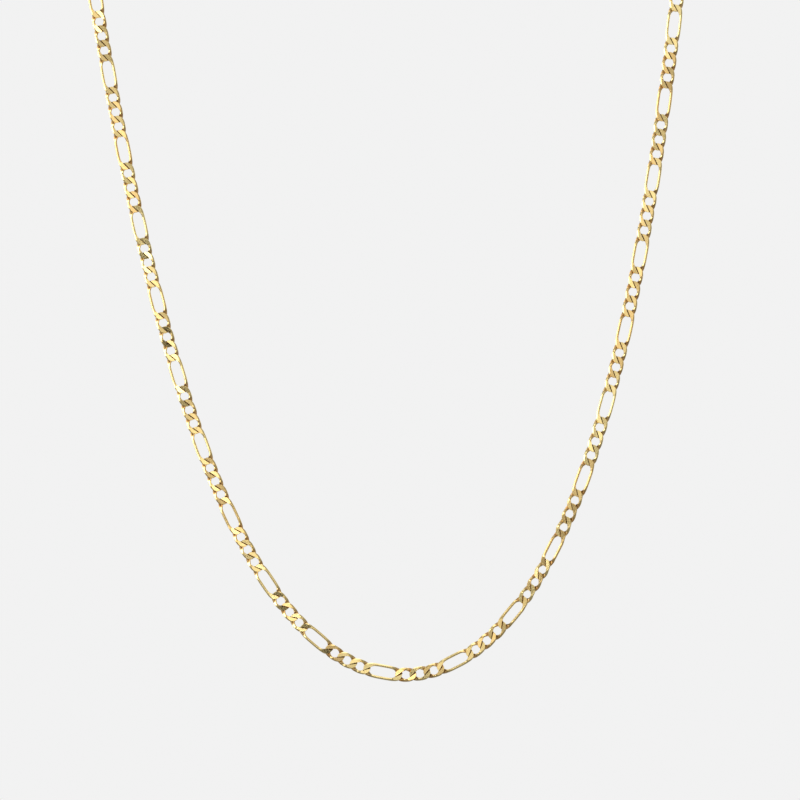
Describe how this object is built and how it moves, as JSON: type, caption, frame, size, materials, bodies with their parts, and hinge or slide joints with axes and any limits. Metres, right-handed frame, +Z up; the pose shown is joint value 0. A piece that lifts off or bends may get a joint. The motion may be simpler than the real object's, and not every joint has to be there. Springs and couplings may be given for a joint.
{
  "type": "figaro chain necklace",
  "caption": "Fine yellow metal neck chain of short and long flat-cut links in turn, hanging in a narrow U and closed at the nape by a clasp.",
  "frame": {"origin": "middle of the clasp at the nape, where the chain rests on the back of the neck", "axes": "+Z up, +Y back, the front of the chain hangs in a plane towards -Y, +X to the viewer's right"},
  "size_m": [0.1179, 0.0481, 0.1758],
  "materials": {
    "gold": "polished yellow gold with flat bright-cut faces"
  },
  "bodies": {
    "root": {"chain_left": "gold", "chain_right": "gold", "clasp": "gold", "clasp_ring": "gold", "end_ring": "gold"}
  },
  "joints": []
}
